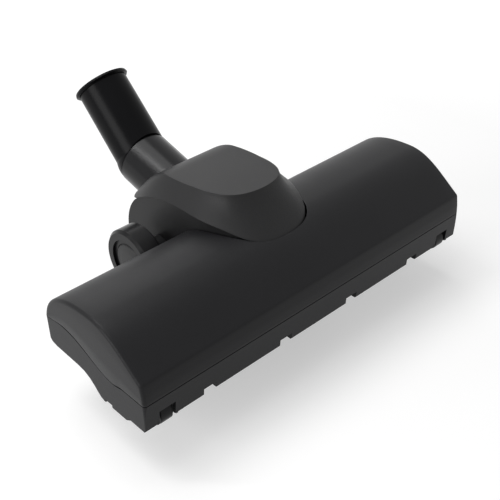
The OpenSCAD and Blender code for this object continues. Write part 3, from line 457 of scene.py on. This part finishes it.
def turned_steel(name, colour=(0.56, 0.56, 0.57), rough=0.32):
    """Turned steel: fine rings round the X axis as bump, and slight colour change along them."""
    mat = bpy.data.materials.new(name)
    mat.use_nodes = True
    nt = mat.node_tree
    b = nt.nodes["Principled BSDF"]
    b.inputs["Metallic"].default_value = 1.0
    tex = nt.nodes.new("ShaderNodeTexCoord")
    place = nt.nodes.new("ShaderNodeMapping")
    place.inputs["Scale"].default_value = (9000, 260, 260)
    nt.links.new(tex.outputs["Object"], place.inputs["Vector"])
    noise = nt.nodes.new("ShaderNodeTexNoise")
    noise.inputs["Scale"].default_value = 1.0
    noise.inputs["Detail"].default_value = 4.0
    nt.links.new(place.outputs["Vector"], noise.inputs["Vector"])
    ramp = nt.nodes.new("ShaderNodeValToRGB")
    c = np.array(colour)
    ramp.color_ramp.elements[0].color = (*(c * 0.82), 1)
    ramp.color_ramp.elements[1].color = (*np.minimum(c * 1.15, 1), 1)
    nt.links.new(noise.outputs["Fac"], ramp.inputs["Fac"])
    nt.links.new(ramp.outputs["Color"], b.inputs["Base Color"])
    gloss = nt.nodes.new("ShaderNodeMapRange")
    gloss.inputs["To Min"].default_value = rough - 0.08
    gloss.inputs["To Max"].default_value = rough + 0.1
    nt.links.new(noise.outputs["Fac"], gloss.inputs["Value"])
    nt.links.new(gloss.outputs["Result"], b.inputs["Roughness"])
    bump = nt.nodes.new("ShaderNodeBump")
    bump.inputs["Strength"].default_value = 0.15
    bump.inputs["Distance"].default_value = 0.05 * MM
    nt.links.new(noise.outputs["Fac"], bump.inputs["Height"])
    nt.links.new(bump.outputs["Normal"], b.inputs["Normal"])
    return mat


SHELL = moulded("shell_black", (0.008, 0.008, 0.009), 0.42, grain=0.22, grain_size=0.5,
                specular=0.17, sparkle=0.03)
COVER = moulded("cover_black", (0.0092, 0.0092, 0.0097), 0.46, grain=0.34, grain_size=0.55,
                specular=0.24, sparkle=0.07)
CHEEK = moulded("cheek_black", (0.0105, 0.0105, 0.011), 0.46, grain=0.2, grain_size=0.5, specular=0.2)
NECK = moulded("neck_black", (0.0042, 0.0042, 0.005), 0.24, grain=0.05, grain_size=0.6, specular=0.2)
TUBE = moulded("tube_black", (0.003, 0.003, 0.0036), 0.28, grain=0.05, grain_size=0.6, specular=0.07)
WHEEL = moulded("wheel_black", (0.004, 0.004, 0.0045), 0.3, grain=0.08, grain_size=0.7, specular=0.16)
CAP = moulded("cap_black", (0.011, 0.011, 0.0115), 0.42, grain=0.15, grain_size=0.5, specular=0.24)
INNER = moulded("inner_grey", (0.03, 0.03, 0.032), 0.5, grain=0.15, grain_size=0.6, specular=0.4)
DRIVE = moulded("drive_white", (0.6, 0.59, 0.55), 0.45, grain=0.1, grain_size=0.8, mottle=0.06)
RUBBER = moulded("belt_rubber", (0.012, 0.012, 0.012), 0.75, grain=0.4, grain_size=0.4, mottle=0.3)
BRISTLE = moulded("bristle_nylon", (0.02, 0.02, 0.023), 0.5, grain=0.1, grain_size=0.3, mottle=0.3)
STEEL = turned_steel("turned_steel")

NODE_LOOK = {
    "lower_housing": SHELL, "joint_housing": CHEEK, "elbow": NECK, "swivel_tube": TUBE,
    "wheel_left": WHEEL, "wheel_right": WHEEL, "wheel_cap_left": CAP, "wheel_cap_right": CAP,
    "front_roller_left": WHEEL, "front_roller_right": WHEEL,
    "rib_frame": INNER, "turbine_plate_left": INNER, "turbine_plate_right": INNER, "belt_guard": INNER,
    "brush_bearing_left": INNER, "brush_bearing_right": INNER, "brush_core": INNER,
    "drive_belt": RUBBER, "turbine_wheel": DRIVE, "turbine_pulley": DRIVE, "brush_pulley": DRIVE}


def dress(piece, mat):
    """Puts the material in every slot of the piece."""
    if not piece.data.materials:
        piece.data.materials.append(mat)
    for i in range(len(piece.material_slots)):
        piece.material_slots[i].link = "OBJECT"
        piece.material_slots[i].material = mat


for node_name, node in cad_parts.items():
    dress(node, NODE_LOOK.get(node_name, STEEL))

shell = upper_shell()
m = shell.modifiers.new("edges", "BEVEL")
m.width, m.segments, m.limit_method, m.angle_limit = 0.35 * MM, 2, "ANGLE", math.radians(50)
apply_modifiers(shell)
dress(shell, SHELL)
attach(shell, "head")
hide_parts("upper_housing")

cover = cover_shell()
dress(cover, COVER)
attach(cover, "head")
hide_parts("turbine_cover")

fibres = bristles()
dress(fibres, BRISTLE)
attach(fibres, "brush")
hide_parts("bristle_tufts")

# Floor, light and camera

FLOOR_Z, FLOOR_HALF = -0.028, 6


def shown(nt):
    """1 for camera, glossy and transmission rays, which see the plain white background, else 0."""
    path = nt.nodes.new("ShaderNodeLightPath")
    total = path.outputs["Is Camera Ray"]
    for kind in ("Is Glossy Ray", "Is Transmission Ray"):
        add = nt.nodes.new("ShaderNodeMath")
        add.operation, add.use_clamp = "ADD", True
        nt.links.new(total, add.inputs[0])
        nt.links.new(path.outputs[kind], add.inputs[1])
        total = add.outputs["Value"]
    return total


def floor_material():
    """Pale floor: near the part half of its light comes from the lamps, so it keeps a soft shadow there.

    The rest is plain white, rising from 0.46 at 0.35 m from the middle to 1 at 1.3 m,
    so its far side ends in white.
    """
    mat = bpy.data.materials.new("pale_floor")
    mat.use_nodes = True
    nt = mat.node_tree
    nt.nodes.clear()
    out = nt.nodes.new("ShaderNodeOutputMaterial")
    diffuse = nt.nodes.new("ShaderNodeBsdfDiffuse")
    diffuse.inputs["Color"].default_value = (0.62, 0.62, 0.62, 1)
    glow = nt.nodes.new("ShaderNodeEmission")
    glow.inputs["Color"].default_value = (1, 1, 1, 1)
    seen = nt.nodes.new("ShaderNodeMath")
    seen.operation = "MULTIPLY"
    tex = nt.nodes.new("ShaderNodeTexCoord")
    far = nt.nodes.new("ShaderNodeVectorMath")
    far.operation = "LENGTH"
    nt.links.new(tex.outputs["Object"], far.inputs[0])
    rise = nt.nodes.new("ShaderNodeMapRange")
    rise.inputs["From Min"].default_value = 0.35
    rise.inputs["From Max"].default_value = 1.3
    rise.inputs["To Min"].default_value = 0.46
    rise.inputs["To Max"].default_value = 1.0
    nt.links.new(far.outputs["Value"], rise.inputs["Value"])
    nt.links.new(rise.outputs["Result"], seen.inputs[1])
    nt.links.new(shown(nt), seen.inputs[0])
    nt.links.new(seen.outputs["Value"], glow.inputs["Strength"])
    add = nt.nodes.new("ShaderNodeAddShader")
    nt.links.new(diffuse.outputs[0], add.inputs[0])
    nt.links.new(glow.outputs[0], add.inputs[1])
    # From below the floor is clear, so that the sole can be looked at
    side = nt.nodes.new("ShaderNodeNewGeometry")
    clear = nt.nodes.new("ShaderNodeBsdfTransparent")
    mix = nt.nodes.new("ShaderNodeMixShader")
    nt.links.new(side.outputs["Backfacing"], mix.inputs[0])
    nt.links.new(add.outputs[0], mix.inputs[1])
    nt.links.new(clear.outputs[0], mix.inputs[2])
    nt.links.new(mix.outputs[0], out.inputs["Surface"])
    return mat


floor = mesh_piece("floor", [[x * FLOOR_HALF, y * FLOOR_HALF, FLOOR_Z]
                             for x, y in ((-1, -1), (1, -1), (1, 1), (-1, 1))], [[0, 1, 2, 3]])
floor.data.materials.append(floor_material())

world = bpy.data.worlds.new("studio")
bpy.context.scene.world = world
world.use_nodes = True
wn = world.node_tree
background = wn.nodes["Background"]
level = wn.nodes.new("ShaderNodeMapRange")
level.inputs["To Min"].default_value = 0.3
level.inputs["To Max"].default_value = 1.0
wn.links.new(shown(wn), level.inputs["Value"])
wn.links.new(level.outputs["Result"], background.inputs["Strength"])
background.inputs["Color"].default_value = (1, 1, 1, 1)


def softbox(name, place, aim, size, watts, spread=None):
    """Square area lamp at a place, aimed at a point."""
    data = bpy.data.lights.new(name, "AREA")
    data.energy, data.shape, data.size = watts, "SQUARE", size
    lamp = bpy.data.objects.new(name, data)
    bpy.context.scene.collection.objects.link(lamp)
    lamp.location = place
    lamp.rotation_euler = (Vector(aim) - Vector(place)).to_track_quat("-Z", "Y").to_euler()
    return lamp


softbox("top_box", (-0.1, 0.35, 1.5), (0, 0, 0), 1.1, 10.5)
softbox("rear_box", (0.7, 1.5, 0.95), (0, 0.05, 0.05), 0.6, 2.6)
softbox("left_box", (-1.3, 0.1, 0.5), (0, 0, 0.04), 0.7, 8)
# Narrow strip along the elbow, for the lengthwise highlight on its left flank
strip = softbox("strip_box", (-0.488, 0.434, 1.073), (0, 0.042, 0.049), 0.8, 3.2)
strip.data.shape, strip.data.size, strip.data.size_y = "RECTANGLE", 0.07, 0.8
softbox("low_box", (-0.3, -0.5, -1.1), (0, 0, 0), 0.9, 6)

# Camera: turned 42.13 degrees to the left of the front, 35.05 degrees down, rolled by -1.39 degrees.
# Its focal length was fitted as 926.22 pixels in a picture 500 pixels wide.
FOCAL_PX, PICTURE_PX, SENSOR_MM = 926.22, 500.0, 36.0
turn, rise, roll = math.radians(-42.13), math.radians(35.05), math.radians(-1.39)
back = Vector((math.sin(turn) * math.cos(rise), -math.cos(turn) * math.cos(rise), math.sin(rise)))
right = Vector((math.cos(turn), math.sin(turn), 0))
up = back.cross(right)
x_axis = math.cos(roll) * right + math.sin(roll) * up
y_axis = -math.sin(roll) * right + math.cos(roll) * up
cam_data = bpy.data.cameras.new("camera")
cam_data.sensor_width = SENSOR_MM
cam_data.sensor_fit = "HORIZONTAL"
cam_data.lens = FOCAL_PX * SENSOR_MM / PICTURE_PX
cam_data.clip_start, cam_data.clip_end = 0.02, 40
camera = bpy.data.objects.new("camera", cam_data)
bpy.context.scene.collection.objects.link(camera)
eye = Vector((-0.33961, -0.30936 - HALF_D * MM, 0.38362))
camera.matrix_world = Matrix.Translation(eye) @ Matrix((x_axis, y_axis, back)).transposed().to_4x4()
bpy.context.scene.camera = camera
bpy.context.scene.view_settings.view_transform = "Standard"
